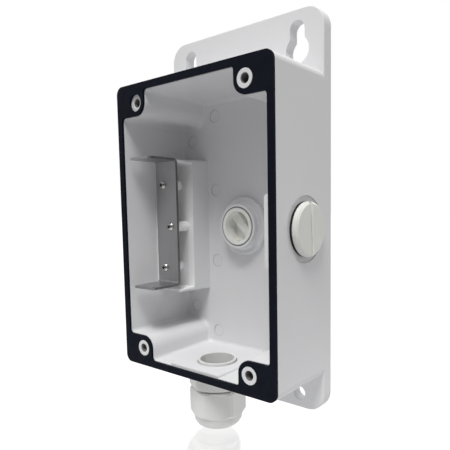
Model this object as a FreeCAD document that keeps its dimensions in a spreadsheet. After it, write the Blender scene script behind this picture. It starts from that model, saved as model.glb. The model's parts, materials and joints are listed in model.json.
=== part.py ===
import FreeCAD, Part
import math
import os
import re
import Sketcher

# Camera junction box, in millimetres. The origin is the centre of the rear cable port on the wall
# face. +X is to the right as seen from the front, -Y points out of the wall, +Z is up.

SIZES = {
    # box and back plate, one casting
    "box_width": 124.2,
    "box_height": 180.0,
    "rim_depth": 56.3,
    "plate_thick": 7.8,
    "plate_rise": 37.6,
    "plate_drop": 23.4,
    "plate_corner": 12.0,
    "box_corner": 5.0,
    "edge_round": 0.8,
    "rim_bevel": 0.4,
    "side_wall_thick": 4.5,
    "back_wall_thick": 4.8,
    "cavity_lean_width": 0.7,
    "wall_root": 2.5,
    "ejector_dia": 8.3,
    "ejector_depth": 0.4,
    "ejector_wall_gap": 10.3,
    "ejector_height": 24.6,
    # corner posts with the tapped holes for a cover
    "post_width": 26.0,
    "post_height": 20.0,
    "post_corner": 8.0,
    "post_root": 2.0,
    "cover_margin_x": 18.1,
    "cover_margin_z": 11.7,
    "cover_hole_dia": 5.0,
    "cover_bevel": 0.5,
    "cover_hole_depth": 18.0,
    "cover_ring_dia": 10.1,
    "cover_ring_rise": 1.5,
    # rubber cover gasket
    "gasket_thick": 1.5,
    "gasket_inset": 0.35,
    "gasket_hole_dia": 10.7,
    # holes in the back plate
    "wall_margin": 18.1,
    "wall_hole_dia": 9.0,
    "wall_hole_margin": 9.2,
    "key_slot_width": 10.2,
    "key_lobe_dia": 16.0,
    "key_travel_length": 12.0,
    "key_margin": 11.3,
    "key_neck_radius": 2.5,
    # threaded ports, screw plugs and their seals
    "thread_dia": 25.0,
    "thread_gap": 0.05,
    "seal_gap": 0.08,
    "side_port_depth": 28.2,
    "side_pad_rise": 3.2,
    "side_pad_width": 38.6,
    "side_pad_round": 2.0,
    "side_spot_dia": 37.6,
    "side_spot_depth": 0.8,
    "rear_recess_dia": 32.0,
    "rear_recess_depth": 5.2,
    "rear_base_dia": 38.4,
    "rear_base_depth": 8.0,
    "rear_collar_dia": 29.0,
    "rear_collar_depth": 13.2,
    "collar_flare": 1.5,
    "collar_lead": 0.4,
    "plug_head_dia": 30.4,
    "plug_rim_height": 2.1,
    "plug_bevel_height": 1.1,
    "plug_bevel_width": 1.3,
    "plug_shank_length": 9.9,
    "plug_wall_thick": 2.65,
    "plug_web_thick": 1.8,
    "plug_lead_length": 0.5,
    "plug_slot_width": 3.0,
    "plug_slot_depth": 1.2,
    "plug_rib_width": 6.0,
    "plug_rib_depth": 4.0,
    "plug_seal_thick": 1.5,
    "side_plug_turn": -2.6,
    "rear_plug_turn": -42.0,
    # cable gland below the box
    "gland_depth": 35.0,
    "floor_pad_width": 39.6,
    "floor_pad_rise": 1.4,
    "gland_proud_height": 1.4,
    "gland_pilot_dia": 24.3,
    "gland_pilot_length": 2.6,
    "gland_hole_bevel": 0.25,
    "gland_bore_dia": 21.6,
    "gland_flats_width": 33.0,
    "gland_hex_height": 7.6,
    "gland_corner_dia": 36.4,
    "gland_chamfer_height": 0.6,
    "gland_washer_thick": 1.5,
    "gland_washer_dia": 31.0,
    "gland_neck_dia": 28.0,
    "gland_neck_length": 13.8,
    "gland_pocket_dia": 23.6,
    "gland_ledge_height": 0.7,
    "seal_bore_dia": 16.0,
    "seal_length": 10.0,
    "claw_bore_dia": 18.0,
    "claw_shoulder_dia": 25.0,
    "claw_length": 7.0,
    "claw_slit_width": 0.8,
    "claw_fingers": 8,
    "claw_gap": 0.3,
    "nut_flats_width": 32.0,
    "nut_corner_dia": 35.4,
    "nut_start_gap": 1.3,
    "nut_hex_height": 16.8,
    "nut_height": 24.4,
    "nut_dome_dia": 31.0,
    "nut_dome_radius": 6.2,
    "nut_shoulder_height": 2.3,
    "nut_mouth_dia": 18.0,
    "nut_lip_height": 2.0,
    "nut_thread_length": 13.6,
    "nut_cone_dia": 25.8,
    "nut_turn": 9.3,
    # cast block on the left wall, and the steel bracket on it
    "block_width": 28.8,
    "block_height": 91.2,
    "block_depth": 32.6,
    "block_draft": 2.0,
    "block_round": 1.5,
    "notch_depth": 12.6,
    "notch_height": 85.6,
    "notch_margin": 7.6,
    "notch_draft": 4.0,
    "bracket_boss_dia": 7.0,
    "bracket_boss_x": 14.6,
    "bracket_boss_shift": 6.5,
    "bracket_boss_spacing": 28.1,
    "steel_thick": 1.5,
    "bend_radius": 1.5,
    "bracket_width": 19.8,
    "bracket_margin": 7.8,
    "bracket_top": 45.3,
    "bracket_bottom": 39.7,
    "bracket_reach": 56.0,
    "bracket_nose_radius": 2.0,
    "bracket_eye_dia": 2.6,
    "bracket_eye_margin": 3.2,
    "screw_shank_dia": 3.0,
    "screw_gap": 0.05,
    "screw_pass": 0.1,
    "screw_length": 10.0,
    "screw_head_dia": 5.6,
    "screw_head_height": 1.9,
    "screw_bevel": 0.9,
}

doc = FreeCAD.newDocument("camera_junction_box")
sheet = doc.addObject("Spreadsheet::Sheet", "Dims")
for row, (alias, size) in enumerate(SIZES.items(), start=1):
    sheet.set(f"A{row}", alias)
    sheet.set(f"B{row}", str(size))
    sheet.setAlias(f"B{row}", alias)
doc.recompute()


# Expressions over the sheet, and shared helpers
def bound(text):
    return re.sub(r"[a-z]\w*", lambda word: f"Dims.{word[0]}" if word[0] in SIZES else word[0], text)


def number(text):
    return float(sheet.evalExpression(bound(text)))


def new_body(label):
    body = doc.addObject("PartDesign::Body", label)
    body.Label = label
    return body


def new_sketch(body, name, role, offset="0"):
    sketch = body.newObject("Sketcher::SketchObject", name)
    plane = next(feature for feature in body.Origin.OriginFeatures if feature.Role == role)
    sketch.AttachmentSupport = (plane, [""])
    sketch.MapMode = "FlatFace"
    sketch.setExpression("AttachmentOffset.Base.z", bound(offset))
    return sketch


def place(sketch, geometry, point, x, y):
    for kind, text in (("DistanceX", x), ("DistanceY", y)):
        constraint = Sketcher.Constraint(kind, -1, 1, geometry, point, number(text))
        index = sketch.addConstraint(constraint)
        sketch.setExpression(f"Constraints[{index}]", bound(text))


def draw_outline(sketch, corners):
    points = [FreeCAD.Vector(number(x), number(y), 0) for x, y in corners]
    first = sketch.GeometryCount
    count = len(points)
    for step in range(count):
        sketch.addGeometry(Part.LineSegment(points[step], points[(step + 1) % count]))
    for step in range(count):
        following = first + (step + 1) % count
        sketch.addConstraint(Sketcher.Constraint("Coincident", first + step, 2, following, 1))
    for step, (x, y) in enumerate(corners):
        place(sketch, first + step, 1, x, y)


def draw_circle(sketch, x, y, diameter):
    centre = FreeCAD.Vector(number(x), number(y), 0)
    circle = Part.Circle(centre, FreeCAD.Vector(0, 0, 1), number(diameter) / 2)
    geometry = sketch.addGeometry(circle)
    place(sketch, geometry, 3, x, y)
    index = sketch.addConstraint(Sketcher.Constraint("Diameter", geometry, number(diameter)))
    sketch.setExpression(f"Constraints[{index}]", bound(diameter))


def rectangle(left, right, bottom, top):
    return [(left, bottom), (right, bottom), (right, top), (left, top)]


def hexagon(flats):
    corners = []
    for step in range(6):
        angle = math.radians(30 + 60 * step)
        reach = 0.5 / math.cos(math.radians(30))
        across = f"{flats} * {reach * math.cos(angle):.9f}"
        corners.append((across, f"{flats} * {reach * math.sin(angle):.9f}"))
    return corners


def finish_feature(feature, grows):
    doc.recompute()
    body = feature.getParentGeoFeatureGroup()
    base = feature.BaseFeature
    if base is not None:
        change = feature.Shape.Volume - base.Shape.Volume
        if change * (1 if grows else -1) <= 1e-6:
            raise RuntimeError(f"{body.Label}: {feature.Name} changes nothing")
    return feature


def pad(body, name, sketch, length, backwards=False, draft=None):
    feature = body.newObject("PartDesign::Pad", name)
    feature.Profile = sketch
    feature.Reversed = backwards
    feature.setExpression("Length", bound(length))
    if draft:
        feature.setExpression("TaperAngle", bound(draft))
    return finish_feature(feature, grows=True)


def pocket(body, name, sketch, length, backwards=False, draft=None):
    feature = body.newObject("PartDesign::Pocket", name)
    feature.Profile = sketch
    feature.Reversed = backwards
    feature.setExpression("Length", bound(length))
    if draft:
        feature.setExpression("TaperAngle", bound(draft))
    return finish_feature(feature, grows=False)


def revolve(body, name, corners, cut=False):
    sketch = new_sketch(body, f"{name}_profile", "XZ_Plane")
    draw_outline(sketch, corners)
    feature = body.newObject("PartDesign::Groove" if cut else "PartDesign::Revolution", name)
    feature.Profile = sketch
    feature.ReferenceAxis = (sketch, ["V_Axis"])
    feature.Angle = 360
    return finish_feature(feature, grows=not cut)


def dress(body, name, kind, size, chosen):
    base = body.Tip
    edges = [f"Edge{index}" for index, edge in enumerate(base.Shape.Edges, start=1) if chosen(edge)]
    if not edges:
        raise RuntimeError(f"{body.Label}: {name} finds no edge")
    feature = body.newObject(f"PartDesign::{kind}", name)
    feature.Base = (base, edges)
    feature.setExpression("Radius" if kind == "Fillet" else "Size", bound(size))
    doc.recompute()
    if "Invalid" in feature.State or not feature.Shape.isValid():
        raise RuntimeError(f"{body.Label}: {name} can't be made")
    return feature


def close(value, target, slack=0.02):
    return abs(value - target) < slack


def ends_at(edge, axis, target, slack=0.02):
    return any(close(getattr(vertex.Point, axis), target, slack) for vertex in edge.Vertexes)


def lies_at(edge, axis, target, slack=0.02):
    low = getattr(edge.BoundBox, axis.upper() + "Min")
    high = getattr(edge.BoundBox, axis.upper() + "Max")
    return close(low, target, slack) and close(high, target, slack)


def runs_along_y(edge, spots, start):
    # true for a lengthwise edge whose end in the plane y = start is at one of the (x, z) spots
    for vertex in edge.Vertexes:
        if close(vertex.Y, start) and edge.BoundBox.YLength > 1:
            if any(close(vertex.X, x) and close(vertex.Z, z) for x, z in spots):
                return True
    return False


def is_circle(edge, radius):
    return hasattr(edge.Curve, "Radius") and close(edge.Curve.Radius, radius)


# Places that several pieces share
INNER_X = "(box_width / 2 - side_wall_thick)"
INNER_Z = "(box_height / 2 - side_wall_thick)"
POST_X = "(box_width / 2 - post_width)"
POST_Z = "(box_height / 2 - post_height)"
COVER_X = "(box_width / 2 - cover_margin_x)"
COVER_Z = "(box_height / 2 - cover_margin_z)"
WALL_X = "(box_width / 2 - wall_margin)"
PLATE_TOP = "(box_height / 2 + plate_rise)"
PLATE_BOTTOM = "(box_height / 2 + plate_drop)"
KEY_Z = f"({PLATE_TOP} - key_margin)"
LOBE_Z = f"({KEY_Z} - key_travel_length)"
WALL_HOLE_Z = f"(wall_hole_margin - {PLATE_BOTTOM})"
PORT_BORE = "(thread_dia + 2 * thread_gap)"
SIDE_PAD_X = f"({INNER_X} - side_pad_rise)"
FLOOR_PAD_Z = f"({INNER_Z} - floor_pad_rise)"
BLOCK_X = "(block_width - box_width / 2)"
NOTCH_BACK = "(block_depth - notch_depth)"
BOSS_X = "(bracket_boss_x - box_width / 2)"
SCREW_SPOTS = [
    (BOSS_X, "bracket_boss_spacing"),
    (f"({BOSS_X} + bracket_boss_shift)", "0"),
    (BOSS_X, "-bracket_boss_spacing"),
]
EJECTOR_SPOTS = [
    (f"({POST_X} - ejector_wall_gap)", f"({INNER_Z} - ejector_wall_gap)"),
    (f"({INNER_X} - ejector_wall_gap)", f"({POST_Z} - ejector_wall_gap)"),
    (f"({POST_X} - ejector_wall_gap)", "ejector_height"),
]
QUADRANTS = [(-1, -1), (1, -1), (1, 1), (-1, 1)]


def mirrored(x, z):
    return [(f"{side} * {x}", f"{level} * {z}") for side, level in QUADRANTS]


def spots(pairs):
    return [(number(x), number(z)) for x, z in pairs]


# Housing: box, back plate, posts, block and ports in one casting
def build_plate(body):
    sketch = new_sketch(body, "plate_outline", "XZ_Plane")
    draw_outline(sketch, rectangle("-box_width / 2", "box_width / 2", f"-{PLATE_BOTTOM}", PLATE_TOP))
    pad(body, "plate", sketch, "plate_thick")
    dress(body, "plate_corners", "Fillet", "plate_corner", lambda edge: edge.BoundBox.YLength > 1)
    front = -number("plate_thick")
    dress(body, "plate_edge", "Fillet", "edge_round", lambda edge: lies_at(edge, "y", front))


def build_box(body):
    sketch = new_sketch(body, "box_outline", "XZ_Plane")
    draw_outline(sketch, rectangle("-box_width / 2", "box_width / 2", "-box_height / 2", "box_height / 2"))
    pad(body, "box", sketch, "rim_depth")
    corners = spots(mirrored("(box_width / 2)", "(box_height / 2)"))
    rim = -number("rim_depth")
    dress(body, "box_corners", "Fillet", "box_corner", lambda edge: runs_along_y(edge, corners, rim))
    dress(body, "rim_edge", "Chamfer", "rim_bevel", lambda edge: lies_at(edge, "y", rim))


def inner_lines(margin):
    # where the cavity's walls and its posts' faces stand, moved outwards by the margin
    return [f"({line} + {margin})" for line in (INNER_X, INNER_Z, POST_X, POST_Z)]


def draw_cavity(sketch, margin):
    inner_x, inner_z, post_x, post_z = inner_lines(margin)
    draw_outline(sketch, [
        (f"-{post_x}", f"-{inner_z}"),
        (post_x, f"-{inner_z}"),
        (post_x, f"-{post_z}"),
        (inner_x, f"-{post_z}"),
        (inner_x, post_z),
        (post_x, post_z),
        (post_x, inner_z),
        (f"-{post_x}", inner_z),
        (f"-{post_x}", post_z),
        (f"-{inner_x}", post_z),
        (f"-{inner_x}", f"-{post_z}"),
        (f"-{post_x}", f"-{post_z}"),
    ])


def corner_spots(margin):
    # the outline's corners: at the posts' own corners, and where the posts meet the walls
    inner_x, inner_z, post_x, post_z = inner_lines(margin)
    return spots(mirrored(post_x, post_z)), spots(mirrored(post_x, inner_z) + mirrored(inner_x, post_z))


def build_cavity(body):
    mouth = new_sketch(body, "cavity_mouth", "XZ_Plane", "rim_depth")
    draw_cavity(mouth, "0")
    floor = new_sketch(body, "cavity_floor", "XZ_Plane", "back_wall_thick")
    draw_cavity(floor, "(0 - cavity_lean_width)")
    cavity = body.newObject("PartDesign::SubtractiveLoft", "cavity")
    cavity.Profile = mouth
    cavity.Sections = [floor]
    cavity.Ruled = True
    finish_feature(cavity, grows=False)
    rim = -number("rim_depth")
    posts, roots = corner_spots("0")
    dress(body, "post_corners", "Fillet", "post_corner", lambda edge: runs_along_y(edge, posts, rim))
    dress(body, "post_roots", "Fillet", "post_root", lambda edge: runs_along_y(edge, roots, rim))
    back = -number("back_wall_thick")
    dress(body, "back_roots", "Fillet", "wall_root", lambda edge: lies_at(edge, "y", back))


def build_pads(body):
    rim = -number("rim_depth")
    floor_half = "(floor_pad_width / 2)"
    sketch = new_sketch(body, "floor_pad_outline", "XZ_Plane", "rim_depth")
    draw_outline(sketch, rectangle(
        f"-{floor_half}", floor_half, f"-{INNER_Z} - side_wall_thick / 2", f"-{FLOOR_PAD_Z}"))
    pad(body, "floor_pad", sketch, "rim_depth - back_wall_thick / 2", backwards=True)
    steps = spots([(floor_half, f"-{FLOOR_PAD_Z}"), (f"-{floor_half}", f"-{FLOOR_PAD_Z}")])
    dress(body, "floor_pad_edges", "Fillet", "edge_round", lambda edge: runs_along_y(edge, steps, rim))
    side_half = "(side_pad_width / 2)"
    sketch = new_sketch(body, "side_pad_outline", "XZ_Plane", "rim_depth")
    draw_outline(sketch, rectangle(
        SIDE_PAD_X, f"{INNER_X} + side_wall_thick / 2", f"-{side_half}", side_half))
    pad(body, "side_pad", sketch, "rim_depth - back_wall_thick / 2", backwards=True)
    steps = spots([(SIDE_PAD_X, side_half), (SIDE_PAD_X, f"-{side_half}")])
    dress(body, "side_pad_edges", "Fillet", "side_pad_round", lambda edge: runs_along_y(edge, steps, rim))


def build_ejector_marks(body):
    sketch = new_sketch(body, "ejector_circles", "XZ_Plane", "back_wall_thick")
    for x, z in EJECTOR_SPOTS:
        draw_circle(sketch, f"-{x}", z, "ejector_dia")
        draw_circle(sketch, f"-{x}", f"-{z}", "ejector_dia")
    pocket(body, "ejector_marks", sketch, "ejector_depth")


def build_block(body):
    sketch = new_sketch(body, "block_outline", "XZ_Plane", "back_wall_thick - side_wall_thick / 2")
    draw_outline(sketch, rectangle(
        "side_wall_thick / 2 - box_width / 2", BLOCK_X, "-block_height / 2", "block_height / 2"))
    pad(body, "block", sketch, "block_depth - back_wall_thick + side_wall_thick / 2", draft="-block_draft")
    front = -number("block_depth")
    right = number(BLOCK_X) - 3
    dress(body, "block_corners", "Fillet", "block_round", lambda edge: (
        ends_at(edge, "y", front) and edge.BoundBox.YLength > 20 and edge.CenterOfMass.x > right))
    sketch = new_sketch(body, "notch_outline", "XZ_Plane", "block_depth")
    draw_outline(sketch, rectangle(
        "notch_margin - box_width / 2", f"{BLOCK_X} + side_wall_thick",
        "-notch_height / 2", "notch_height / 2"))
    pocket(body, "notch", sketch, "notch_depth", draft="-notch_draft")
    sketch = new_sketch(body, "bracket_boss_circles", "XZ_Plane", f"{NOTCH_BACK} - side_wall_thick / 2")
    for x, z in SCREW_SPOTS:
        draw_circle(sketch, x, z, "bracket_boss_dia")
    pad(body, "bracket_bosses", sketch, "notch_depth + side_wall_thick / 2")
    sketch = new_sketch(body, "bracket_pilot_circles", "XZ_Plane", "block_depth")
    for x, z in SCREW_SPOTS:
        draw_circle(sketch, x, z, "screw_shank_dia + 2 * screw_gap")
    pocket(body, "bracket_pilots", sketch, "screw_length + side_wall_thick / 2")


def build_ports(body):
    sketch = new_sketch(body, "rear_base_circle", "XZ_Plane", "back_wall_thick - side_wall_thick / 2")
    draw_circle(sketch, "0", "0", "rear_base_dia")
    pad(body, "rear_base_ring", sketch, "rear_base_depth - back_wall_thick + side_wall_thick / 2")
    base_front = -number("rear_base_depth")
    dress(body, "rear_base_edge", "Chamfer", "edge_round",
          lambda edge: lies_at(edge, "y", base_front) and is_circle(edge, number("rear_base_dia / 2")))
    sketch = new_sketch(body, "rear_collar_circle", "XZ_Plane", "back_wall_thick")
    draw_circle(sketch, "0", "0", "rear_collar_dia")
    pad(body, "rear_collar_ring", sketch, "rear_collar_depth - back_wall_thick")
    dress(body, "rear_collar_root", "Chamfer", "collar_flare",
          lambda edge: lies_at(edge, "y", base_front) and is_circle(edge, number("rear_collar_dia / 2")))
    sketch = new_sketch(body, "rear_recess_circle", "XZ_Plane")
    draw_circle(sketch, "0", "0", "rear_recess_dia")
    pocket(body, "rear_recess_cut", sketch, "rear_recess_depth", backwards=True)
    sketch = new_sketch(body, "rear_bore_circle", "XZ_Plane")
    draw_circle(sketch, "0", "0", PORT_BORE)
    pocket(body, "rear_bore", sketch, "rear_collar_depth + side_wall_thick", backwards=True)
    collar_front = -number("rear_collar_depth")
    dress(body, "rear_bore_edge", "Chamfer", "collar_lead",
          lambda edge: lies_at(edge, "y", collar_front) and is_circle(edge, number(PORT_BORE) / 2))
    sketch = new_sketch(body, "side_spot_circle", "YZ_Plane", "box_width / 2")
    draw_circle(sketch, "-side_port_depth", "0", "side_spot_dia")
    pocket(body, "side_spot_face", sketch, "side_spot_depth")
    sketch = new_sketch(body, "side_bore_circle", "YZ_Plane", "box_width / 2")
    draw_circle(sketch, "-side_port_depth", "0", PORT_BORE)
    pocket(body, "side_bore", sketch, "2 * side_wall_thick + side_pad_rise")
    sketch = new_sketch(body, "gland_bore_circle", "XY_Plane", "-box_height / 2")
    draw_circle(sketch, "0", "-gland_depth", PORT_BORE)
    pocket(body, "gland_bore_cut", sketch, "2 * side_wall_thick + floor_pad_rise", backwards=True)
    floor_top = -number(FLOOR_PAD_Z)
    dress(body, "gland_bore_edge", "Chamfer", "gland_hole_bevel",
          lambda edge: lies_at(edge, "z", floor_top) and is_circle(edge, number(PORT_BORE) / 2))


def build_holes(body):
    sides = (f"-{WALL_X}", WALL_X)
    sketch = new_sketch(body, "key_lobe_circles", "XZ_Plane", "plate_thick")
    for x in sides:
        draw_circle(sketch, x, LOBE_Z, "key_lobe_dia")
    pocket(body, "key_lobes", sketch, "plate_thick")
    sketch = new_sketch(body, "key_slot_outlines", "XZ_Plane", "plate_thick")
    for x in sides:
        left, right = f"{x} - key_slot_width / 2", f"{x} + key_slot_width / 2"
        draw_outline(sketch, rectangle(left, right, LOBE_Z, KEY_Z))
    pocket(body, "key_slots", sketch, "plate_thick")
    sketch = new_sketch(body, "key_end_circles", "XZ_Plane", "plate_thick")
    for x in sides:
        draw_circle(sketch, x, KEY_Z, "key_slot_width")
    pocket(body, "key_ends", sketch, "plate_thick")
    neck_z = number(LOBE_Z) + math.sqrt(number("key_lobe_dia") ** 2 - number("key_slot_width") ** 2) / 2
    necks = [(number(f"{x} {side} key_slot_width / 2"), neck_z) for x in sides for side in "-+"]
    dress(body, "key_necks", "Fillet", "key_neck_radius", lambda edge: runs_along_y(edge, necks, 0))
    sketch = new_sketch(body, "wall_hole_circles", "XZ_Plane", "plate_thick")
    for x in sides:
        draw_circle(sketch, x, WALL_HOLE_Z, "wall_hole_dia")
    pocket(body, "wall_holes", sketch, "plate_thick")
    covers = mirrored(COVER_X, COVER_Z)
    sketch = new_sketch(body, "cover_ring_circles", "XZ_Plane", "rim_depth")
    for x, z in covers[:3]:
        draw_circle(sketch, x, z, "cover_ring_dia")
    pad(body, "cover_rings", sketch, "cover_ring_rise")
    sketch = new_sketch(body, "cover_hole_circles", "XZ_Plane", "rim_depth + cover_ring_rise")
    for x, z in covers:
        draw_circle(sketch, x, z, "cover_hole_dia")
    pocket(body, "cover_holes", sketch, "cover_hole_depth")
    rim = -number("rim_depth")
    dress(body, "cover_sinks", "Chamfer", "cover_bevel",
          lambda edge: edge.CenterOfMass.y < rim + 0.1 and is_circle(edge, number("cover_hole_dia / 2")))


def build_housing():
    body = new_body("housing")
    build_plate(body)
    build_box(body)
    build_cavity(body)
    build_pads(body)
    build_ejector_marks(body)
    build_block(body)
    build_ports(body)
    build_holes(body)
    return body


# Flat rubber gasket on the casting's rim
def build_gasket():
    body = new_body("gasket")
    sketch = new_sketch(body, "gasket_outline", "XZ_Plane", "rim_depth")
    draw_outline(sketch, rectangle("-box_width / 2", "box_width / 2", "-box_height / 2", "box_height / 2"))
    pad(body, "gasket_sheet", sketch, "gasket_thick")
    dress(body, "gasket_corners", "Fillet", "box_corner", lambda edge: edge.BoundBox.YLength > 1)
    sketch = new_sketch(body, "gasket_window", "XZ_Plane", "rim_depth + gasket_thick")
    draw_cavity(sketch, "gasket_inset")
    pocket(body, "gasket_opening", sketch, "gasket_thick")
    face = -number("rim_depth + gasket_thick")
    lobes, roots = corner_spots("gasket_inset")
    dress(body, "gasket_lobes", "Fillet", "post_corner - gasket_inset",
          lambda edge: runs_along_y(edge, lobes, face))
    dress(body, "gasket_roots", "Fillet", "post_root + gasket_inset",
          lambda edge: runs_along_y(edge, roots, face))
    sketch = new_sketch(body, "gasket_hole_circles", "XZ_Plane", "rim_depth + gasket_thick")
    for x, z in mirrored(COVER_X, COVER_Z):
        draw_circle(sketch, x, z, "gasket_hole_dia")
    pocket(body, "gasket_holes", sketch, "gasket_thick")
    return body


# U-shaped steel bracket and its three screws
def build_bracket():
    body = new_body("bracket")
    back = "-block_depth"
    face = "(-block_depth - steel_thick)"
    nose = "-bracket_reach"
    sketch = new_sketch(body, "bracket_section", "YZ_Plane", "bracket_margin - box_width / 2")
    draw_outline(sketch, [
        (back, "-bracket_bottom"),
        (back, "bracket_top"),
        (nose, "bracket_top"),
        (nose, "bracket_top - steel_thick"),
        (face, "bracket_top - steel_thick"),
        (face, "steel_thick - bracket_bottom"),
        (nose, "steel_thick - bracket_bottom"),
        (nose, "-bracket_bottom"),
    ])
    pad(body, "bracket_sheet", sketch, "bracket_width")
    heel = number(back)
    dress(body, "bracket_outer_bends", "Fillet", "bend_radius + steel_thick",
          lambda edge: edge.BoundBox.XLength > 5 and lies_at(edge, "y", heel))
    inner = number(face)
    dress(body, "bracket_inner_bends", "Fillet", "bend_radius",
          lambda edge: edge.BoundBox.XLength > 5 and lies_at(edge, "y", inner))
    front = number(nose)
    dress(body, "bracket_nose_corners", "Fillet", "bracket_nose_radius",
          lambda edge: edge.BoundBox.ZLength > 1 and lies_at(edge, "y", front))
    sketch = new_sketch(body, "bracket_hole_circles", "XZ_Plane", f"-{face}")
    for x, z in SCREW_SPOTS:
        draw_circle(sketch, x, z, "screw_shank_dia + 2 * screw_pass")
    pocket(body, "bracket_holes", sketch, "steel_thick")
    sketch = new_sketch(body, "bracket_eye_circle", "XY_Plane", "bracket_top")
    draw_circle(sketch, "bracket_margin + bracket_width - bracket_eye_margin - box_width / 2",
                "bracket_eye_margin - bracket_reach", "bracket_eye_dia")
    pocket(body, "bracket_eyes", sketch, "bracket_top + bracket_bottom")
    return body


def build_bracket_screws():
    body = new_body("bracket_screws")
    body.AllowCompound = True
    seat = "(block_depth + steel_thick)"
    sketch = new_sketch(body, "shank_circles", "XZ_Plane", seat)
    for x, z in SCREW_SPOTS:
        draw_circle(sketch, x, z, "screw_shank_dia")
    pad(body, "shanks", sketch, "screw_length", backwards=True)
    sketch = new_sketch(body, "head_circles", "XZ_Plane", seat)
    for x, z in SCREW_SPOTS:
        draw_circle(sketch, x, z, "screw_head_dia")
    pad(body, "heads", sketch, "screw_head_height")
    crown = -number(f"{seat} + screw_head_height")
    dress(body, "head_crowns", "Chamfer", "screw_bevel", lambda edge: lies_at(edge, "y", crown))
    return body


# Screw plug: its own z axis is the thread's, z = 0 is the underside of the head
def build_plug(label):
    body = new_body(label)
    head = "(plug_rim_height + plug_bevel_height)"
    revolve(body, "turned", [
        ("0", head),
        ("plug_head_dia / 2 - plug_bevel_width", head),
        ("plug_head_dia / 2", "plug_rim_height"),
        ("plug_head_dia / 2", "0"),
        ("thread_dia / 2", "0"),
        ("thread_dia / 2", "plug_lead_length - plug_shank_length"),
        ("thread_dia / 2 - plug_lead_length", "-plug_shank_length"),
        ("thread_dia / 2 - plug_wall_thick", "-plug_shank_length"),
        ("thread_dia / 2 - plug_wall_thick", f"{head} - plug_slot_depth - plug_web_thick"),
        ("0", f"{head} - plug_slot_depth - plug_web_thick"),
    ])
    inside = "(thread_dia / 2 - plug_wall_thick / 2)"
    sketch = new_sketch(body, "rib_outline", "XY_Plane", f"{head} - plug_slot_depth - plug_web_thick / 2")
    draw_outline(sketch, rectangle("-plug_rib_width / 2", "plug_rib_width / 2", f"-{inside}", inside))
    pad(body, "rib", sketch, "plug_rib_depth + plug_web_thick / 2", backwards=True)
    sketch = new_sketch(body, "slot_outline", "XY_Plane", head)
    draw_outline(sketch, rectangle(
        "-plug_slot_width / 2", "plug_slot_width / 2", "-plug_head_dia", "plug_head_dia"))
    pocket(body, "slot", sketch, "plug_slot_depth")
    return body


def build_ring(label, inner, outer, thick):
    body = new_body(label)
    revolve(body, "ring", [
        (f"{inner} / 2", "0"),
        (f"{outer} / 2", "0"),
        (f"{outer} / 2", thick),
        (f"{inner} / 2", thick),
    ])
    return body


# Cable gland: z = 0 is the underside of the box for the body, the washer, the seal and the claw
def build_gland_body():
    body = new_body("gland_body")
    top = "(side_wall_thick + floor_pad_rise + gland_proud_height)"
    hex_top = "-gland_washer_thick"
    hex_bottom = f"({hex_top} - gland_hex_height)"
    end = f"({hex_bottom} - gland_neck_length)"
    ledge = f"({hex_bottom} + gland_ledge_height)"
    revolve(body, "turned", [
        ("gland_bore_dia / 2", top),
        ("gland_pilot_dia / 2", top),
        ("gland_pilot_dia / 2", f"{top} - gland_pilot_length"),
        ("thread_dia / 2", f"{top} - gland_pilot_length - (thread_dia - gland_pilot_dia) / 2"),
        ("thread_dia / 2", hex_top),
        ("gland_neck_dia / 2", hex_top),
        ("gland_neck_dia / 2", end),
        ("gland_pocket_dia / 2", end),
        ("gland_pocket_dia / 2", ledge),
        ("gland_bore_dia / 2", ledge),
    ])
    sketch = new_sketch(body, "hex_outline", "XY_Plane", hex_top)
    draw_outline(sketch, hexagon("gland_flats_width"))
    draw_circle(sketch, "0", "0", "gland_pocket_dia + (gland_neck_dia - gland_pocket_dia) / 2")
    pad(body, "hexagon", sketch, "gland_hex_height", backwards=True)
    rim = "(gland_flats_width / 2 + 0.1 * gland_chamfer_height)"
    revolve(body, "corner_chamfer", [
        (rim, hex_top),
        ("gland_flats_width", hex_top),
        ("gland_flats_width", hex_bottom),
        (rim, hex_bottom),
        ("gland_corner_dia / 2", f"{hex_bottom} + gland_chamfer_height"),
        ("gland_corner_dia / 2", f"{hex_top} - gland_chamfer_height"),
    ], cut=True)
    return body


def build_gland_seal():
    body = new_body("gland_seal")
    top = "(gland_ledge_height - gland_washer_thick - gland_hex_height)"
    revolve(body, "sleeve", [
        ("seal_bore_dia / 2", top),
        ("gland_pocket_dia / 2 - thread_gap", top),
        ("gland_pocket_dia / 2 - thread_gap", f"{top} - seal_length"),
        ("seal_bore_dia / 2", f"{top} - seal_length"),
    ])
    return body


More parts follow.
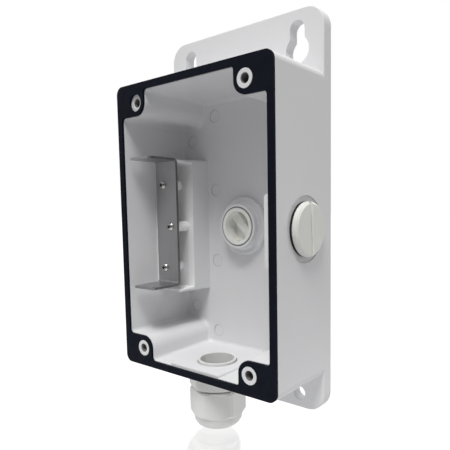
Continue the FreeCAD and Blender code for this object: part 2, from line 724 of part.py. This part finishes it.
# Clamping claw: a ring that fits the body's mouth, with slit fingers below it
def build_gland_claw():
    body = new_body("gland_claw")
    top = "(gland_ledge_height - gland_washer_thick - gland_hex_height - seal_length)"
    mouth = "(-gland_washer_thick - gland_hex_height - gland_neck_length)"
    tip = f"({mouth} - claw_length)"
    cone_top = "(-gland_washer_thick - gland_hex_height - nut_start_gap - nut_thread_length)"
    lean = "((nut_cone_dia - nut_mouth_dia) / 2 / (nut_height - nut_thread_length - nut_lip_height))"
    revolve(body, "turned", [
        ("claw_bore_dia / 2 + claw_gap", top),
        ("gland_pocket_dia / 2 - thread_gap", top),
        ("gland_pocket_dia / 2 - thread_gap", mouth),
        ("claw_shoulder_dia / 2", mouth),
        ("claw_shoulder_dia / 2", cone_top),
        (f"nut_cone_dia / 2 - ({cone_top} - {tip}) * {lean} - 1.2 * claw_gap", tip),
        ("claw_bore_dia / 2 - claw_gap", tip),
        ("claw_bore_dia / 2 + claw_gap", mouth),
    ])
    sketch = new_sketch(body, "slit_outline", "XZ_Plane")
    draw_outline(sketch, rectangle(
        "-claw_slit_width / 2", "claw_slit_width / 2", f"{tip} - claw_gap", f"{mouth} + claw_gap"))
    slit = pocket(body, "slit", sketch, "claw_shoulder_dia")
    pattern = body.newObject("PartDesign::PolarPattern", "slits")
    pattern.Originals = [slit]
    axis = next(feature for feature in body.Origin.OriginFeatures if feature.Role == "Z_Axis")
    pattern.Axis = (axis, [""])
    pattern.Angle = 360
    pattern.setExpression("Occurrences", bound("claw_fingers"))
    body.Tip = pattern
    doc.recompute()
    return body


# Domed sealing nut: z = 0 is its upper face, and the dome's round is turned in straight bands
NUT_BANDS = 4


def build_gland_nut():
    body = new_body("gland_nut")
    corners = [("0", "-nut_height"), ("0", "0"), ("nut_dome_dia / 2", "0")]
    for step in range(NUT_BANDS + 1):
        angle = math.radians(90 * step / NUT_BANDS)
        inward = f"{1 - math.cos(angle):.4f} * nut_dome_radius"
        above = f"{1 - math.sin(angle):.4f} * nut_dome_radius"
        corners.append((f"nut_dome_dia / 2 - {inward}", f"{above} - nut_height"))
    revolve(body, "domed", corners)
    sketch = new_sketch(body, "hex_outline", "XY_Plane")
    draw_outline(sketch, hexagon("nut_flats_width"))
    pad(body, "hexagon", sketch, "nut_hex_height", backwards=True)
    reach = "(nut_corner_dia / 2)"
    slope = "((nut_corner_dia - nut_flats_width) / 3)"
    revolve(body, "corner_chamfer", [
        (f"nut_flats_width / 2 + 0.2 * {slope}", "0"),
        ("nut_flats_width", "0"),
        ("nut_flats_width", "-nut_hex_height"),
        ("nut_dome_dia / 2 + 0.1 * nut_shoulder_height", "-nut_hex_height"),
        (reach, "nut_shoulder_height - nut_hex_height"),
        (reach, f"-{slope}"),
    ], cut=True)
    revolve(body, "inside", [
        ("0", "0"),
        ("gland_neck_dia / 2 + thread_gap", "0"),
        ("gland_neck_dia / 2 + thread_gap", "-nut_thread_length"),
        ("nut_cone_dia / 2", "-nut_thread_length"),
        ("nut_mouth_dia / 2", "nut_lip_height - nut_height"),
        ("nut_mouth_dia / 2", "-nut_height"),
        ("0", "-nut_height"),
    ], cut=True)
    return body


def set_down(body, x, y, z, rotation):
    body.Placement = FreeCAD.Placement(FreeCAD.Vector(number(x), number(y), number(z)), rotation)
    for axis, text in (("x", x), ("y", y), ("z", z)):
        body.setExpression(f"Placement.Base.{axis}", bound(text))


X_AXIS = FreeCAD.Vector(1, 0, 0)
Y_AXIS = FreeCAD.Vector(0, 1, 0)
Z_AXIS = FreeCAD.Vector(0, 0, 1)
UPRIGHT = FreeCAD.Rotation()
TO_RIGHT = FreeCAD.Rotation(Y_AXIS, 90)
TO_WALL = FreeCAD.Rotation(X_AXIS, -90)

parts = [build_housing(), build_gasket(), build_bracket(), build_bracket_screws()]

seal_hole = "(thread_dia + 2 * seal_gap)"
side_seat = "box_width / 2 - side_spot_depth"
side_seal = build_ring("side_plug_seal", seal_hole, "plug_head_dia", "plug_seal_thick")
set_down(side_seal, side_seat, "-side_port_depth", "0", TO_RIGHT)
side_plug = build_plug("side_plug")
side_turn = FreeCAD.Rotation(Z_AXIS, 90 - number("side_plug_turn"))
set_down(side_plug, f"{side_seat} + plug_seal_thick", "-side_port_depth", "0", TO_RIGHT.multiply(side_turn))

rear_seal = build_ring("rear_plug_seal", seal_hole, "plug_head_dia", "plug_seal_thick")
set_down(rear_seal, "0", "-rear_recess_depth", "0", TO_WALL)
rear_plug = build_plug("rear_plug")
rear_turn = FreeCAD.Rotation(Z_AXIS, number("rear_plug_turn"))
set_down(rear_plug, "0", "plug_seal_thick - rear_recess_depth", "0", TO_WALL.multiply(rear_turn))

gland_body = build_gland_body()
gland_seal = build_gland_seal()
gland_claw = build_gland_claw()
for piece in (gland_body, gland_seal, gland_claw):
    set_down(piece, "0", "-gland_depth", "-box_height / 2", UPRIGHT)
gland_washer = build_ring("gland_washer", seal_hole, "gland_washer_dia", "gland_washer_thick")
set_down(gland_washer, "0", "-gland_depth", "-box_height / 2 - gland_washer_thick", UPRIGHT)
gland_nut = build_gland_nut()
nut_drop = "gland_washer_thick + gland_hex_height + nut_start_gap"
set_down(gland_nut, "0", "-gland_depth", f"-box_height / 2 - {nut_drop.replace('+', '-')}",
         FreeCAD.Rotation(Z_AXIS, number("nut_turn")))

parts += [side_seal, side_plug, rear_seal, rear_plug]
parts += [gland_body, gland_washer, gland_seal, gland_claw, gland_nut]

# Nothing is written unless every object is sound
doc.recompute()
for item in doc.Objects:
    if "Invalid" in item.State or "Error" in item.State:
        raise RuntimeError(f"{item.Label} failed: {item.State}")
for part in parts:
    if part.Shape.isNull() or not part.Shape.isValid():
        raise RuntimeError(f"{part.Label} has no valid shape")

os.makedirs("parts", exist_ok=True)
for part in parts:
    part.Shape.exportStep(f"parts/{part.Label}.step")
    box = part.Shape.BoundBox
    print(f"{part.Label}: {len(part.Shape.Solids)} solid(s), {part.Shape.Volume:.0f} mm3, "
          f"{box.XLength:.1f} x {box.YLength:.1f} x {box.ZLength:.1f} mm")
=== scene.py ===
import json
import math

import bmesh
import bpy
from mathutils import Matrix, Vector


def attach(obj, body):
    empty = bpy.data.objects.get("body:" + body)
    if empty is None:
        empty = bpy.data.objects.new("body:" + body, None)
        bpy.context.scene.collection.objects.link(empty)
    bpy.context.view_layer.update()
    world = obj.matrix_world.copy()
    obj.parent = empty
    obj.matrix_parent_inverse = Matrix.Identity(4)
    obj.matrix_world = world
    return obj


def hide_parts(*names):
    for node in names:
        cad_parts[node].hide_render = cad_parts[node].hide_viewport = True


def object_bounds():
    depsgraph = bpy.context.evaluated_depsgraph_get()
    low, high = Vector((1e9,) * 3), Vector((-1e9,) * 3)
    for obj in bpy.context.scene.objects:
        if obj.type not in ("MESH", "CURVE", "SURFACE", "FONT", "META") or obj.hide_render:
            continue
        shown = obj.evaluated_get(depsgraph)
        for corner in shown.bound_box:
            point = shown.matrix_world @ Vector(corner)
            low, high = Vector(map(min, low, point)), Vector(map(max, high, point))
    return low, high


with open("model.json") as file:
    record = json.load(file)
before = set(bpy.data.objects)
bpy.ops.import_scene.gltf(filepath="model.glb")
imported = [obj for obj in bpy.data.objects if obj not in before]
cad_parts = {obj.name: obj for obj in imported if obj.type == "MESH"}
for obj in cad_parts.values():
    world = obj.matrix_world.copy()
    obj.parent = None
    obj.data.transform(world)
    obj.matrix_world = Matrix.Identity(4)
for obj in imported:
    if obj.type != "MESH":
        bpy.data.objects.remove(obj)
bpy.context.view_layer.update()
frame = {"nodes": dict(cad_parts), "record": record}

scene = bpy.context.scene

# Camera fitted to the photograph: lengths in its pixels, place in metres, angles in degrees
SENSOR_WIDTH = 36.0
PICTURE_WIDTH = 450.0
FOCAL_LENGTH = 469.11
OPTICAL_CENTRE = (255.42, 249.13)
CAMERA_PLACE = (0.19852, -0.24954, 0.01304)
CAMERA_ANGLES = (-37.83, -5.23, -0.79)


def add_camera():
    data = bpy.data.cameras.new("photo_camera")
    data.sensor_width = SENSOR_WIDTH
    data.lens = SENSOR_WIDTH * FOCAL_LENGTH / PICTURE_WIDTH
    data.shift_x = -(OPTICAL_CENTRE[0] - PICTURE_WIDTH / 2) / PICTURE_WIDTH
    data.shift_y = (OPTICAL_CENTRE[1] - PICTURE_WIDTH / 2) / PICTURE_WIDTH
    data.clip_start = 0.01
    data.clip_end = 50.0
    camera = bpy.data.objects.new("photo_camera", data)
    scene.collection.objects.link(camera)
    yaw, pitch, roll = (math.radians(angle) for angle in CAMERA_ANGLES)
    forward = Vector((math.sin(yaw) * math.cos(pitch), math.cos(yaw) * math.cos(pitch), math.sin(pitch)))
    level = Vector((math.cos(yaw), -math.sin(yaw), 0.0))
    upright = level.cross(forward)
    right = math.cos(roll) * level + math.sin(roll) * upright
    up = math.cos(roll) * upright - math.sin(roll) * level
    turn = Matrix((right, up, -forward)).transposed().to_4x4()
    camera.matrix_world = Matrix.Translation(CAMERA_PLACE) @ turn
    scene.camera = camera


add_camera()


# Node helpers
def add_node(tree, kind, inputs=None, **settings):
    # an input is a socket to link or a value to set
    node = tree.nodes.new(kind)
    for key, value in settings.items():
        setattr(node, key, value)
    for key, value in (inputs or {}).items():
        if isinstance(value, bpy.types.NodeSocket):
            tree.links.new(value, node.inputs[key])
        else:
            node.inputs[key].default_value = value
    return node


def maths(tree, operation, *values):
    return add_node(tree, "ShaderNodeMath", dict(enumerate(values)), operation=operation).outputs[0]


def vector_maths(tree, operation, *values):
    return add_node(tree, "ShaderNodeVectorMath", dict(enumerate(values)), operation=operation).outputs


def object_place(tree):
    return add_node(tree, "ShaderNodeTexCoord").outputs["Object"]


def split(tree, place):
    return add_node(tree, "ShaderNodeSeparateXYZ", {0: place}).outputs


def noise(tree, scale, detail=3.0, roughness=0.5, stretch=(1.0, 1.0, 1.0)):
    mapping = add_node(tree, "ShaderNodeMapping", {"Vector": object_place(tree), "Scale": stretch})
    texture = add_node(tree, "ShaderNodeTexNoise", {
        "Vector": mapping.outputs["Vector"], "Scale": scale, "Detail": detail, "Roughness": roughness})
    return texture.outputs["Fac"]


# The middle part of a noise's range, which tones are spread over
NOISE_LOW, NOISE_HIGH = 0.3, 0.7


def spread(tree, source, low, high, start=NOISE_LOW, end=NOISE_HIGH):
    node = add_node(tree, "ShaderNodeMapRange", {
        "Value": source, "From Min": start, "From Max": end, "To Min": low, "To Max": high})
    return node.outputs["Result"]


def tint(tree, source, dark, light):
    ramp = add_node(tree, "ShaderNodeValToRGB", {"Fac": source})
    for element, position, colour in zip(ramp.color_ramp.elements, (NOISE_LOW, NOISE_HIGH), (dark, light)):
        element.position = position
        element.color = (*colour, 1.0)
    return ramp.outputs["Color"]


def mixed(tree, mask, colour, other):
    # the inputs of a colour mix are 6 and 7, and its output is 2
    node = add_node(tree, "ShaderNodeMix", {0: mask, 6: colour, 7: (*other, 1.0)}, data_type="RGBA")
    return node.outputs[2]


def from_line(tree, axis, centre, mirrored=False):
    # distance from a line along the axis, the way along it and the two ways across it
    place = object_place(tree)
    if mirrored:
        place = vector_maths(tree, "ABSOLUTE", place)[0]
    parts = split(tree, vector_maths(tree, "SUBTRACT", place, centre)[0])
    across, up = (parts[name] for name in "XYZ" if name != axis)
    squares = maths(tree, "ADD", maths(tree, "MULTIPLY", across, across), maths(tree, "MULTIPLY", up, up))
    return maths(tree, "SQRT", squares), parts[axis], across, up


def circle_line(tree, axis, centre, radius, width, reach):
    # 1 on a circle round the centre, 0 beyond its width or its reach along the axis
    distance, along, *_ = from_line(tree, axis, centre)
    off = maths(tree, "ABSOLUTE", maths(tree, "SUBTRACT", distance, radius))
    line = spread(tree, off, 1.0, 0.0, 0.0, width)
    return maths(tree, "MULTIPLY", line, maths(tree, "COMPARE", along, 0.0, reach))


def thread(tree, axis, start, radius, pitch, length, mirrored=False):
    # a triangular wave that winds along the axis, only at the radius and on the length
    near_radius = 0.0003
    distance, along, across, up = from_line(tree, axis, start, mirrored)
    angle = maths(tree, "ARCTAN2", up, across)
    turns = maths(tree, "ADD", maths(tree, "DIVIDE", along, pitch), maths(tree, "DIVIDE", angle, 2 * math.pi))
    cut = maths(tree, "MULTIPLY", maths(tree, "COMPARE", distance, radius, near_radius),
                maths(tree, "COMPARE", along, length / 2, length / 2))
    return maths(tree, "MULTIPLY", maths(tree, "PINGPONG", turns, 0.5), cut)


def within(tree, centre, half):
    # 1 inside a box round the centre, 0 outside
    parts = split(tree, object_place(tree))
    inside = 1.0
    for name, middle, reach in zip("XYZ", centre, half):
        inside = maths(tree, "MULTIPLY", inside, maths(tree, "COMPARE", parts[name], middle, reach))
    return inside


# Places on the CAD model that the materials mark, in metres
M25_RADIUS = 0.0125
M25_PITCH = 0.0015
SIDE_SHANK_END = (0.0529, -0.0282, 0.0)
REAR_SHANK_END = (0.0, -0.0136, 0.0)
SHANK_THREAD = 0.0098
HOLLOW_RADIUS = 0.0122
HOLLOW_DEPTH = 0.011
REAR_COLLAR = (0.0, -0.0132, 0.0)
FLOOR_PORT = (0.0, -0.035, -0.0841)
PORT_RADIUS = 0.0127
NECK_END = (0.0, -0.035, -0.1129)
NECK_RADIUS = 0.014
NECK_THREAD = 0.0138
COVER_HOLE_MIDDLE = (0.044, 0.048, 0.0783)
COVER_HOLE_END = (0.044, 0.038, 0.0783)
COVER_HOLE_RADIUS = 0.0025
COVER_HOLE_DARK = 0.00272
COVER_HOLE_REACH = 0.011
COVER_THREAD = 0.0198
COVER_PITCH = 0.001
EJECTOR_MARKS = [(-0.0258, 0.0752), (-0.0473, 0.0597), (-0.0258, 0.0246)]
EJECTOR_RADIUS = 0.0042
BACK_WALL = -0.0046
NOTCH_CENTRE = (-0.0445, -0.0265, 0.0)
NOTCH_HALF = (0.0118, 0.0069, 0.0434)
BRACKET_MIDDLE = -0.0444
BRACKET_EDGE = (0.0095, 0.0099)


# Materials
def new_material(name):
    material = bpy.data.materials.new(name)
    material.use_nodes = True
    tree = material.node_tree
    return material, tree, tree.nodes["Principled BSDF"]


def set_surface(tree, shader, colour, roughness, **values):
    # colour and roughness are linked, all other values are the same all over
    tree.links.new(colour, shader.inputs["Base Color"])
    tree.links.new(roughness, shader.inputs["Roughness"])
    for name, value in values.items():
        shader.inputs[name.replace("_", " ")].default_value = value


def set_relief(tree, shader, *layers):
    # each layer is a height source and its depth in metres
    normal = None
    for source, depth in layers:
        bump = add_node(tree, "ShaderNodeBump", {"Height": source, "Strength": 1.0, "Distance": depth})
        if normal:
            tree.links.new(normal, bump.inputs["Normal"])
        normal = bump.outputs["Normal"]
    tree.links.new(normal, shader.inputs["Normal"])


def powder_coat():
    material, tree, shader = new_material("white_coat")
    colour = tint(tree, noise(tree, 22.0, 2.0), (0.775, 0.776, 0.792), (0.800, 0.801, 0.816))
    # painted light: the coat inside the notch behind the bracket is made paler, standing in for light that
    # reaches into it
    colour = mixed(tree, within(tree, NOTCH_CENTRE, NOTCH_HALF), colour, (0.97, 0.97, 0.975))
    marks = 0.0
    for x, z in EJECTOR_MARKS:
        for level in (z, -z):
            place = (x, BACK_WALL, level)
            mark = circle_line(tree, "Y", place, EJECTOR_RADIUS, width=0.0004, reach=0.001)
            marks = maths(tree, "MAXIMUM", marks, mark)
    # painted shade: each ejector mark's ring line is darkened, standing in for the shade in its shallow
    # groove; the ring's relief below is the real mark
    colour = mixed(tree, maths(tree, "MULTIPLY", marks, 0.35), colour, (0.30, 0.30, 0.31))
    # painted shade: thin dark lines in the gaps round the rear plug's collar and the gland's floor stub, and
    # the insides of the cover holes darkened, all mixed towards near black below
    collar_gap = circle_line(tree, "Y", REAR_COLLAR, PORT_RADIUS, width=0.0005, reach=0.0007)
    stub_gap = circle_line(tree, "Z", FLOOR_PORT, PORT_RADIUS, width=0.0004, reach=0.0007)
    distance, along, *_ = from_line(tree, "Y", COVER_HOLE_MIDDLE, mirrored=True)
    holes = maths(tree, "MULTIPLY", maths(tree, "LESS_THAN", distance, COVER_HOLE_DARK),
                  maths(tree, "COMPARE", along, 0.0, COVER_HOLE_REACH))
    shade = maths(tree, "MAXIMUM", collar_gap, maths(tree, "MULTIPLY", stub_gap, 0.4))
    shade = maths(tree, "MAXIMUM", shade, maths(tree, "MULTIPLY", holes, 0.8))
    colour = mixed(tree, shade, colour, (0.10, 0.10, 0.10))
    set_surface(tree, shader, colour, spread(tree, noise(tree, 60.0), 0.40, 0.52), Specular_IOR_Level=0.4)
    turns = thread(tree, "Y", COVER_HOLE_END, COVER_HOLE_RADIUS, COVER_PITCH, COVER_THREAD, mirrored=True)
    set_relief(tree, shader, (noise(tree, 900.0, 2.0), 0.00004), (noise(tree, 260.0, 2.0), 0.00005),
               (turns, 0.0010), (marks, 0.00015))
    return material


def gasket_rubber():
    material, tree, shader = new_material("gasket_rubber")
    colour = tint(tree, noise(tree, 90.0), (0.0021, 0.0037, 0.0100), (0.0034, 0.0054, 0.0136))
    set_surface(tree, shader, colour, spread(tree, noise(tree, 240.0), 0.55, 0.75), Specular_IOR_Level=0.12)
    set_relief(tree, shader, (noise(tree, 1800.0, 2.0), 0.00003))
    return material


def seal_rubber():
    material, tree, shader = new_material("seal_rubber")
    colour = tint(tree, noise(tree, 120.0), (0.010, 0.010, 0.011), (0.018, 0.018, 0.019))
    set_surface(tree, shader, colour, spread(tree, noise(tree, 300.0), 0.5, 0.7), Specular_IOR_Level=0.3)
    set_relief(tree, shader, (noise(tree, 1500.0, 2.0), 0.00003))
    return material


def sheet_steel():
    # drawn sheet, with painted shade darkening it along its side edges
    material, tree, shader = new_material("bracket_steel")
    grain = noise(tree, 350.0, 4.0, 0.6, (1.0, 1.0, 0.03))
    from_middle = maths(tree, "SUBTRACT", split(tree, object_place(tree))["X"], BRACKET_MIDDLE)
    edge_shade = spread(tree, maths(tree, "ABSOLUTE", from_middle), 0.0, 0.68, *BRACKET_EDGE)
    colour = tint(tree, grain, (0.46, 0.46, 0.465), (0.51, 0.51, 0.52))
    colour = mixed(tree, edge_shade, colour, (0.06, 0.06, 0.062))
    set_surface(tree, shader, colour, spread(tree, grain, 0.30, 0.40), Metallic=1.0)
    set_relief(tree, shader, (grain, 0.00001))
    return material


def screw_steel():
    material, tree, shader = new_material("screw_steel")
    colour = tint(tree, noise(tree, 500.0), (0.50, 0.49, 0.47), (0.66, 0.65, 0.62))
    set_surface(tree, shader, colour, spread(tree, noise(tree, 900.0), 0.12, 0.24), Metallic=1.0)
    return material


def recess_shade_metal():
    # painted shade: the cross recess is coloured near black
    material, tree, shader = new_material("recess_shade_metal")
    colour = tint(tree, noise(tree, 900.0), (0.015, 0.015, 0.015), (0.04, 0.04, 0.04))
    set_surface(tree, shader, colour, spread(tree, noise(tree, 900.0), 0.45, 0.65), Metallic=1.0)
    return material


# Light goes a little way into both plastics
NYLON_DEPTH = {"Subsurface_Weight": 0.3, "Subsurface_Radius": (1.0, 0.95, 0.85), "Subsurface_Scale": 0.0015}


def plug_plastic(name, axis, shank_end):
    material, tree, shader = new_material(name)
    colour = tint(tree, noise(tree, 70.0), (0.80, 0.80, 0.77), (0.84, 0.84, 0.81))
    # painted light: the inside of the plug's hollow is made paler, standing in for light reaching into it
    distance, along, *_ = from_line(tree, axis, shank_end)
    hollow = maths(tree, "MULTIPLY", maths(tree, "LESS_THAN", distance, HOLLOW_RADIUS),
                   maths(tree, "LESS_THAN", along, HOLLOW_DEPTH))
    colour = mixed(tree, hollow, colour, (0.90, 0.90, 0.865))
    # painted shade: a thin dark line round the shank's end, standing in for the shade in the gap beside it
    edge = circle_line(tree, axis, shank_end, M25_RADIUS, width=0.0005, reach=0.0006)
    colour = mixed(tree, edge, colour, (0.12, 0.12, 0.11))
    set_surface(tree, shader, colour, spread(tree, noise(tree, 150.0), 0.36, 0.5), **NYLON_DEPTH)
    turns = thread(tree, axis, shank_end, M25_RADIUS, M25_PITCH, SHANK_THREAD)
    set_relief(tree, shader, (noise(tree, 1200.0, 3.0), 0.00003), (turns, 0.0016))
    return material


def gland_plastic():
    material, tree, shader = new_material("gland_plastic")
    colour = tint(tree, noise(tree, 60.0), (0.77, 0.77, 0.76), (0.80, 0.80, 0.785))
    set_surface(tree, shader, colour, spread(tree, noise(tree, 140.0), 0.28, 0.40), **NYLON_DEPTH)
    turns = thread(tree, "Z", NECK_END, NECK_RADIUS, M25_PITCH, NECK_THREAD)
    set_relief(tree, shader, (noise(tree, 700.0, 3.0), 0.00002), (turns, 0.0016))
    return material


SLOT_MATERIALS = {
    "white_coat": powder_coat(),
    "gasket_rubber": gasket_rubber(),
    "seal_rubber": seal_rubber(),
    "bracket_steel": sheet_steel(),
    "screw_steel": screw_steel(),
    "plug_plastic": plug_plastic("side_plug_plastic", "X", SIDE_SHANK_END),
    "gland_plastic": gland_plastic(),
}
NODE_MATERIALS = {"rear_plug": plug_plastic("rear_plug_plastic", "Y", REAR_SHANK_END)}
for subpart in frame["record"]["subparts"]:
    node = frame["nodes"][subpart["node"]]
    node.data.materials.clear()
    finish = NODE_MATERIALS.get(subpart["node"], SLOT_MATERIALS[subpart["material_slot"]])
    node.data.materials.append(finish)


# Pan-head screws with a cross recess, where the CAD's plain ones are
# Each spot is x and z in metres and the turn of its cross in degrees
SCREW_SPOTS = [(-0.0475, 0.0281, 28), (-0.0410, 0.0, 64), (-0.0475, -0.0281, 8)]
SCREW_SEAT = -0.0341
# Radius and height in millimetres, from the top of the head to the tip
SCREW_PROFILE = [(0.0, 1.90), (0.9, 1.85), (1.7, 1.66), (2.3, 1.32), (2.65, 0.92), (2.8, 0.45), (2.8, 0.0),
                 (1.5, 0.0), (1.5, -9.7), (1.2, -10.0), (0.0, -10.0)]
# Height, arm and half width of the cross in millimetres, above the head and at the recess's bottom
CROSS_RINGS = ((2.2, 1.70, 0.48), (0.75, 0.60, 0.32))
SMOOTH_BELOW = math.radians(32)


def cross_outline(arm, half):
    points = []
    for step in range(4):
        turn = Matrix.Rotation(step * math.pi / 2, 2)
        points += [turn @ Vector(corner) for corner in ((arm, -half), (arm, half), (half, half))]
    return points


def new_object(name, mesh, *materials):
    data = bpy.data.meshes.new(name)
    bmesh.ops.recalc_face_normals(mesh, faces=mesh.faces)
    mesh.to_mesh(data)
    mesh.free()
    for material in materials:
        data.materials.append(material)
    piece = bpy.data.objects.new(name, data)
    scene.collection.objects.link(piece)
    return piece


def turned(profile, steps=48):
    mesh = bmesh.new()
    line = [mesh.verts.new((radius, 0.0, height)) for radius, height in profile]
    edges = [mesh.edges.new(pair) for pair in zip(line, line[1:])]
    bmesh.ops.spin(mesh, geom=line + edges, axis=(0, 0, 1), cent=(0, 0, 0), angle=2 * math.pi, steps=steps)
    bmesh.ops.remove_doubles(mesh, verts=mesh.verts, dist=1e-5)
    return mesh


def cross_punch():
    mesh = bmesh.new()
    top, bottom = ([mesh.verts.new((x, y, height)) for x, y in cross_outline(arm, half)]
                   for height, arm, half in CROSS_RINGS)
    for step in range(len(top)):
        after = (step + 1) % len(top)
        mesh.faces.new((top[step], top[after], bottom[after], bottom[step]))
    mesh.faces.new(top)
    mesh.faces.new(bottom)
    bmesh.ops.triangulate(mesh, faces=mesh.faces)
    for face in mesh.faces:
        face.material_index = 1
    return mesh


def cut_screw():
    # one screw in millimetres, its head up
    finishes = (SLOT_MATERIALS["screw_steel"], recess_shade_metal())
    blank = new_object("screw_blank", turned(SCREW_PROFILE), *finishes)
    punch = new_object("cross_punch", cross_punch(), *finishes)
    cut = blank.modifiers.new("recess", "BOOLEAN")
    cut.operation = "DIFFERENCE"
    cut.object = punch
    screw = bpy.data.meshes.new_from_object(blank.evaluated_get(bpy.context.evaluated_depsgraph_get()))
    bpy.data.objects.remove(blank)
    bpy.data.objects.remove(punch)
    return screw, finishes


def add_screws():
    screw, finishes = cut_screw()
    mesh = bmesh.new()
    for x, z, turn in SCREW_SPOTS:
        copy = screw.copy()
        copy.transform(Matrix.Translation((x, SCREW_SEAT, z)) @ Matrix.Rotation(math.pi / 2, 4, "X")
                       @ Matrix.Rotation(math.radians(turn), 4, "Z") @ Matrix.Scale(0.001, 4))
        mesh.from_mesh(copy)
    for face in mesh.faces:
        face.smooth = True
    for edge in mesh.edges:
        edge.smooth = len(edge.link_faces) == 2 and edge.calc_face_angle() < SMOOTH_BELOW
    piece = new_object("pan_head_screws", mesh, *finishes)
    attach(piece, "box")
    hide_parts("bracket_screws")


add_screws()

# Studio: white surround, pale floor and one soft key light
WHITE = (1.0, 1.0, 1.0, 1.0)
GLAND_FOOT = (0.0, -0.035)
# The surround's brightness is this much, and more towards the brighter side
SURROUND = 0.42
BRIGHTER_SIDE = (-0.33, 0.42, 0.58)
# A glossy patch in front of the gland: centre, half width and half length in metres
PATCH_CENTRE = (0.0194, -0.0605)
PATCH_HALF = (0.016, 0.032)
PATCH_TURN = math.radians(37.3)
FLOOR_REACH = 6.0
FLOOR_GAP = 0.0002


def mix_shaders(tree, mask, shader, other):
    return add_node(tree, "ShaderNodeMixShader", {0: mask, 1: shader, 2: other}).outputs[0]


def is_camera_ray(tree):
    return add_node(tree, "ShaderNodeLightPath").outputs["Is Camera Ray"]


def add_world():
    # the surround lights by direction, and is plain white where the camera sees it
    world = bpy.data.worlds.new("studio")
    scene.world = world
    world.use_nodes = True
    tree = world.node_tree
    tree.nodes.clear()
    direction = add_node(tree, "ShaderNodeTexCoord").outputs["Generated"]
    slope = vector_maths(tree, "DOT_PRODUCT", direction, BRIGHTER_SIDE)["Value"]
    power = maths(tree, "MAXIMUM", maths(tree, "ADD", slope, SURROUND), 0.0)
    dim, white = (add_node(tree, "ShaderNodeBackground", {"Color": WHITE, "Strength": strength}).outputs[0]
                  for strength in (power, 1.0))
    output = add_node(tree, "ShaderNodeOutputWorld")
    tree.links.new(mix_shaders(tree, is_camera_ray(tree), dim, white), output.inputs["Surface"])


def floor_material(level):
    # the floor glows white for the camera, and less further off for the part
    material = bpy.data.materials.new("floor_white")
    material.use_nodes = True
    tree = material.node_tree
    tree.nodes.clear()
    place = object_place(tree)
    away = vector_maths(tree, "DISTANCE", place, (*GLAND_FOOT, level))["Value"]
    glow = spread(tree, away, 0.84, 0.26, 0.1, 0.55)
    seen, bounce = (add_node(tree, "ShaderNodeEmission", {"Color": WHITE, "Strength": strength}).outputs[0]
                    for strength in (1.16, glow))
    gloss = add_node(tree, "ShaderNodeBsdfGlossy", {"Color": WHITE, "Roughness": 0.08}).outputs[0]
    patch = add_node(tree, "ShaderNodeMapping", {
        "Vector": place, "Location": (*PATCH_CENTRE, level), "Rotation": (0.0, 0.0, PATCH_TURN),
        "Scale": (*PATCH_HALF, 1.0)}, vector_type="TEXTURE").outputs[0]
    sheen = spread(tree, vector_maths(tree, "LENGTH", patch)["Value"], 0.50, 0.0, 0.9, 1.08)
    surface = mix_shaders(tree, is_camera_ray(tree), bounce, mix_shaders(tree, sheen, seen, gloss))
    output = add_node(tree, "ShaderNodeOutputMaterial")
    tree.links.new(surface, output.inputs["Surface"])
    return material


def add_floor():
    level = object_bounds()[0][2] - FLOOR_GAP
    corners = [(x * FLOOR_REACH, y * FLOOR_REACH, level) for x, y in ((-1, -1), (1, -1), (1, 1), (-1, 1))]
    mesh = bpy.data.meshes.new("floor")
    mesh.from_pydata(corners, [], [(0, 1, 2, 3)])
    mesh.materials.append(floor_material(level))
    floor = bpy.data.objects.new("floor", mesh)
    scene.collection.objects.link(floor)


def add_light(name, place, target, size, power, colour):
    data = bpy.data.lights.new(name, "AREA")
    data.size = size
    data.energy = power
    data.color = colour
    light = bpy.data.objects.new(name, data)
    scene.collection.objects.link(light)
    light.location = place
    light.rotation_euler = (Vector(target) - Vector(place)).to_track_quat("-Z", "Y").to_euler()


add_world()
add_floor()
add_light("key", place=(0.33, -0.68, 1.30), target=(0.0, 0.0, 0.0), size=0.5, power=15.0,
          colour=(1.0, 0.995, 0.975))
scene.view_settings.view_transform = "Standard"
